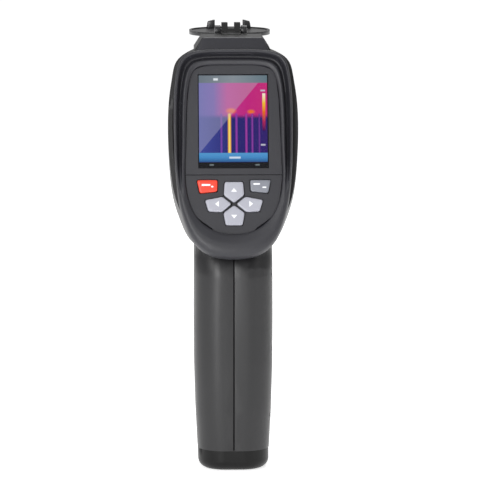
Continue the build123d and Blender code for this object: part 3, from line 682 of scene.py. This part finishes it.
def paintScreen():
    mat, tree, shader = newFinish("screenPicture", (0, 0, 0), screenSet["rough"])
    uv = tree.nodes.new("ShaderNodeUVMap")
    split = tree.nodes.new("ShaderNodeSeparateXYZ")
    tree.links.new(uv.outputs["UV"], split.inputs[0])
    across, up = split.outputs["X"], split.outputs["Y"]
    # warm field above, cold field below, both cooler to the left
    warm = colourRamp(tree, across, screenSet["warm"])
    cold = colourRamp(tree, across, screenSet["cold"])
    picture = layOver(tree, warm, cold, below(tree, up, screenSet["coldTop"]))
    for place, size, colour in screenSet["hotSpots"]:  # glow over the hot things
        away = spotDistance(tree, across, up, place)
        picture = layOver(tree, picture, colour, below(tree, away, (size * 0.25, size)))
    for middle, half, colour in screenSet["bars"]:  # upright warm bars in the cold field
        box = (middle - half, middle + half, *screenSet["barSpan"])
        mask = boxMask(tree, across, up, box, screenSet["barSoft"])
        picture = layOver(tree, picture, colour, mask)
    # painted reflection: a slanting pale glare over the upper left, laid into the screen's glow
    lift, slope, foot = screenSet["paintedReflectionLine"]
    line = mathNode(tree, "MULTIPLY", mathNode(tree, "SUBTRACT", up, lift), slope)
    line = mathNode(tree, "ADD", line, foot)
    inside = mathNode(tree, "SUBTRACT", line, across)
    paintedReflection = ramp01(tree, inside, *screenSet["paintedReflectionSoft"])
    paintedReflection = mathNode(tree, "MULTIPLY", paintedReflection, screenSet["paintedReflectionShare"])
    picture = layOver(tree, picture, screenSet["paintedReflectionColour"], paintedReflection)
    # colour scale at the right
    scale = colourRamp(tree, fromBottom(tree, up, screenSet["scaleSpan"]), screenSet["scale"])
    mask = boxMask(tree, across, up, screenSet["scaleBox"], 0.004)
    picture = layOver(tree, picture, scale, mask)
    picture = layMarks(tree, picture, across, up, screenSet["scaleMarks"])
    # status strip on top, blue strip and black strip below
    strip = colourRamp(tree, across, screenSet["statusStrip"])
    picture = layOver(tree, picture, strip, ramp01(tree, up, *screenSet["statusFoot"]))
    picture = layMarks(tree, picture, across, up, screenSet["statusMarks"])
    blue = colourRamp(tree, fromBottom(tree, up, screenSet["blueSpan"]), screenSet["blueStrip"])
    band = spanMask(tree, up, *screenSet["blueBand"], screenSet["blueSoft"])
    picture = layOver(tree, picture, blue, band)
    picture = layMarks(tree, picture, across, up, screenSet["blueMarks"])
    foot = below(tree, up, screenSet["footTop"])
    picture = layOver(tree, picture, screenSet["footColour"], foot)
    picture = layMarks(tree, picture, across, up, screenSet["footMarks"])
    border = boxMask(tree, across, up, screenSet["border"], 0.003)
    dark = tree.nodes.new("ShaderNodeRGB")
    dark.outputs[0].default_value = screenSet["borderColour"]
    picture = layOver(tree, dark.outputs[0], picture, border)
    tree.links.new(picture, shader.inputs["Emission Color"])
    shader.inputs["Emission Strength"].default_value = screenSet["glow"]
    shader.inputs["Specular IOR Level"].default_value = screenSet["specular"]
    return mat


def makeScreen():
    bpy.ops.object.select_all(action="DESELECT")
    bpy.ops.mesh.primitive_plane_add(size=1)
    picture = bpy.context.object
    for vert in picture.data.vertices:
        across = vert.co.x * screenSet["wide"]
        up = screenSet["middle"] + vert.co.y * screenSet["tall"]
        vert.co = onPanel(across, up, screenSet["height"])
    bpy.ops.object.mode_set(mode="EDIT")
    bpy.ops.mesh.select_all(action="SELECT")
    bpy.ops.mesh.subdivide(number_cuts=screenSet["cuts"])
    bpy.ops.mesh.select_all(action="SELECT")
    sink = panelOut * -screenSet["thick"] * mm
    bpy.ops.mesh.extrude_region_move(TRANSFORM_OT_translate={"value": sink})
    bpy.ops.object.mode_set(mode="OBJECT")
    recalcOut(picture)
    picture.name = "screenPicture"
    settle(picture)
    picture.data.materials.append(paintScreen())
    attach(picture, "body")


makeScreen()
print("screen lit")

flap = {
    "hinge": (37.0, 210.0), "half": 20.2, "middle": 61.0, "reach": 21.0, "power": 0.86, "steps": 36,
    "notchGap": 0.8, "notchLip": 0.15,
    "under": 206.5, "thick": 2.0, "notchHalf": 5.25, "notchEnd": 45.0,
    "rim": 1.3, "sunk": 0.55, "edge": 0.35,
    "tab": [(7.0, 208.0), (7.0, 212.4), (10.6, 211.5), (11.3, 208.0)],
    "tabFar": 78.6, "tabDeep": 2.6, "arm": (4.95, 7.9), "knuckle": 2.5, "armEnd": 44.0,
}


def flapOutline():  # squarish oval with a notch for the hinge
    half, end, under = flap["notchHalf"], flap["notchEnd"], flap["under"]
    right, left = [], []
    for i in range(flap["steps"] + 1):
        turn = math.pi * i / flap["steps"]
        x = flap["half"] * abs(math.sin(turn)) ** flap["power"]
        along = flap["reach"] * math.copysign(abs(math.cos(turn)) ** flap["power"], math.cos(turn))
        if along > 0 or x > half + flap["notchGap"]:
            right.append((x, flap["middle"] + along, under))
            if i:
                left.append((-x, flap["middle"] + along, under))
    low = right[-1][1] - flap["notchLip"]
    notch = [(half, low, under), (half, end, under), (-half, end, under), (-half, low, under)]
    return right + notch + left[::-1]


def makeFlap():
    plate = prism(flapOutline(), (0, 0, flap["thick"]))
    onlySelect(plate)
    bpy.ops.object.mode_set(mode="EDIT")
    bpy.ops.mesh.select_all(action="DESELECT")
    bpy.ops.mesh.select_mode(type="FACE")
    bpy.ops.object.mode_set(mode="OBJECT")
    for face in plate.data.polygons:
        face.select = face.normal.z > 0.9
    bpy.ops.object.mode_set(mode="EDIT")
    bpy.ops.mesh.inset(thickness=flap["rim"] * mm)  # raised rim round a sunk field
    bpy.ops.mesh.extrude_region_move(TRANSFORM_OT_translate={"value": (0, 0, -flap["sunk"] * mm)})
    bpy.ops.object.mode_set(mode="OBJECT")
    recalcOut(plate)
    softenEdges(plate, flap["edge"])
    finishPiece(plate, "flapPlate", "cover_shell", "cover", "lens_cover")
    hingeY, hingeZ = flap["hinge"]
    near, far = flap["arm"]
    for side, label in ((-1, "Left"), (1, "Right")):
        x = near if side > 0 else -far
        wide = far - near
        loop = [(x, hingeY + flap["knuckle"] * math.cos(a), hingeZ + flap["knuckle"] * math.sin(a))
                for a in (math.radians(25 + 10 * k) for k in range(27))]
        loop += [(x, flap["armEnd"], 207.4), (x, flap["armEnd"], 209.5), (x, hingeY + 3.6, 210.2)]
        arm = prism(loop, (wide, 0, 0))
        softenEdges(arm, 0.3, 2, 40)
        finishPiece(arm, "flapArm" + label, "cover_shell", "cover", "lens_cover")
        tabOutline = [(side * x, flap["tabFar"], z) for x, z in flap["tab"]]
        tab = prism(tabOutline, (0, -flap["tabDeep"], 0))
        softenEdges(tab, 0.45, 3, 40)
        finishPiece(tab, "flapTab" + label, "cover_shell", "cover", "lens_cover")


makeFlap()

triggerSet = {
    "half": 5.5, "round": 1.1, "back": [(9.2, 133.0), (15.5, 133.0), (19.6, 127.0)],
    "tip": [(19.6, 102.4), (14.5, 104.0), (10.2, 118.0)],
    "arc": {"through": (18.6, 115.0), "from": 127.0, "to": 104.0, "ends": (19.6, 21.8)},
    "ribs": {"half": 3.9, "tall": 0.9, "proud": 0.35, "first": 107.0, "step": 3.1, "count": 6},
}


def triggerFront(z):  # hollow front of the trigger as a parabola through its three points
    arc = triggerSet["arc"]
    heights = (arc["from"], arc["through"][1], arc["to"])
    depths = (arc["ends"][0], arc["through"][0], arc["ends"][1])
    total = 0
    for i, depth in enumerate(depths):
        others = [heights[j] for j in range(len(heights)) if j != i]
        weight = math.prod((z - other) / (heights[i] - other) for other in others)
        total += depth * weight
    return total


ribSet = {"root": 0.8, "edge": 0.28}


def ribBar(name, body, slotName, half, y, z, tall, proud):
    root = ribSet["root"]
    low, high = z - tall / 2, z + tall / 2
    outline = [(-half, y - root, low), (half, y - root, low), (half, y - root, high),
               (-half, y - root, high)]
    bar = prism(outline, (0, root + proud, 0))
    softenEdges(bar, ribSet["edge"], 3, 40)
    finishPiece(bar, name, slotName, body)


def makeTrigger():
    arc = triggerSet["arc"]
    steps = 12
    front = [(triggerFront(z), z) for z in
             (arc["from"] + (arc["to"] - arc["from"]) * k / steps for k in range(1, steps + 1))]
    outline = triggerSet["back"] + front + triggerSet["tip"]
    body = prism([(-triggerSet["half"], y, z) for y, z in outline], (2 * triggerSet["half"], 0, 0))
    softenEdges(body, triggerSet["round"], 4, 50)
    finishPiece(body, "triggerBlade", nodeSlot["trigger"], "trigger", "trigger")
    ribs = triggerSet["ribs"]
    for k in range(ribs["count"]):
        z = ribs["first"] + ribs["step"] * k
        ribBar(f"triggerRib{k}", "trigger", nodeSlot["trigger"], ribs["half"], triggerFront(z), z,
               ribs["tall"], ribs["proud"])


makeTrigger()

doorRibs = {
    "half": 4.6, "tall": 1.1, "proud": 0.45, "front": 20.9,
    "places": [76.0, 78.6, 81.2, 83.8, 86.4],
}
for k, z in enumerate(doorRibs["places"]):
    ribBar(f"doorRib{k}", "battery_door", nodeSlot["battery_door"], doorRibs["half"],
           doorRibs["front"], z, doorRibs["tall"], doorRibs["proud"])
print("cover, trigger and door ribs shaped")

copies = {  # CAD nodes shown as softened copies, with the width of the rounding in mm
    "left_housing": 0.0, "right_housing": 0.0, "display_frame": 0.15, "keypad_panel": 0.15,
    "hinge_block": 0.3, "grip_base": 0.0, "battery_door": 0.15, "side_door": 0.15,
    "front_bezel": 0.2, "lens_barrel": 0.15, "lens_retaining_ring": 0.1, "germanium_lens": 0.0,
    "housing_screws": 0.1, "tripod_insert": 0.1, "base_screws": 0.1, "cover_hinge_pin": 0.1,
}
for nodeName, bevel in copies.items():
    copyFromFrame(nodeName, bevel * mm)
print("copies softened")
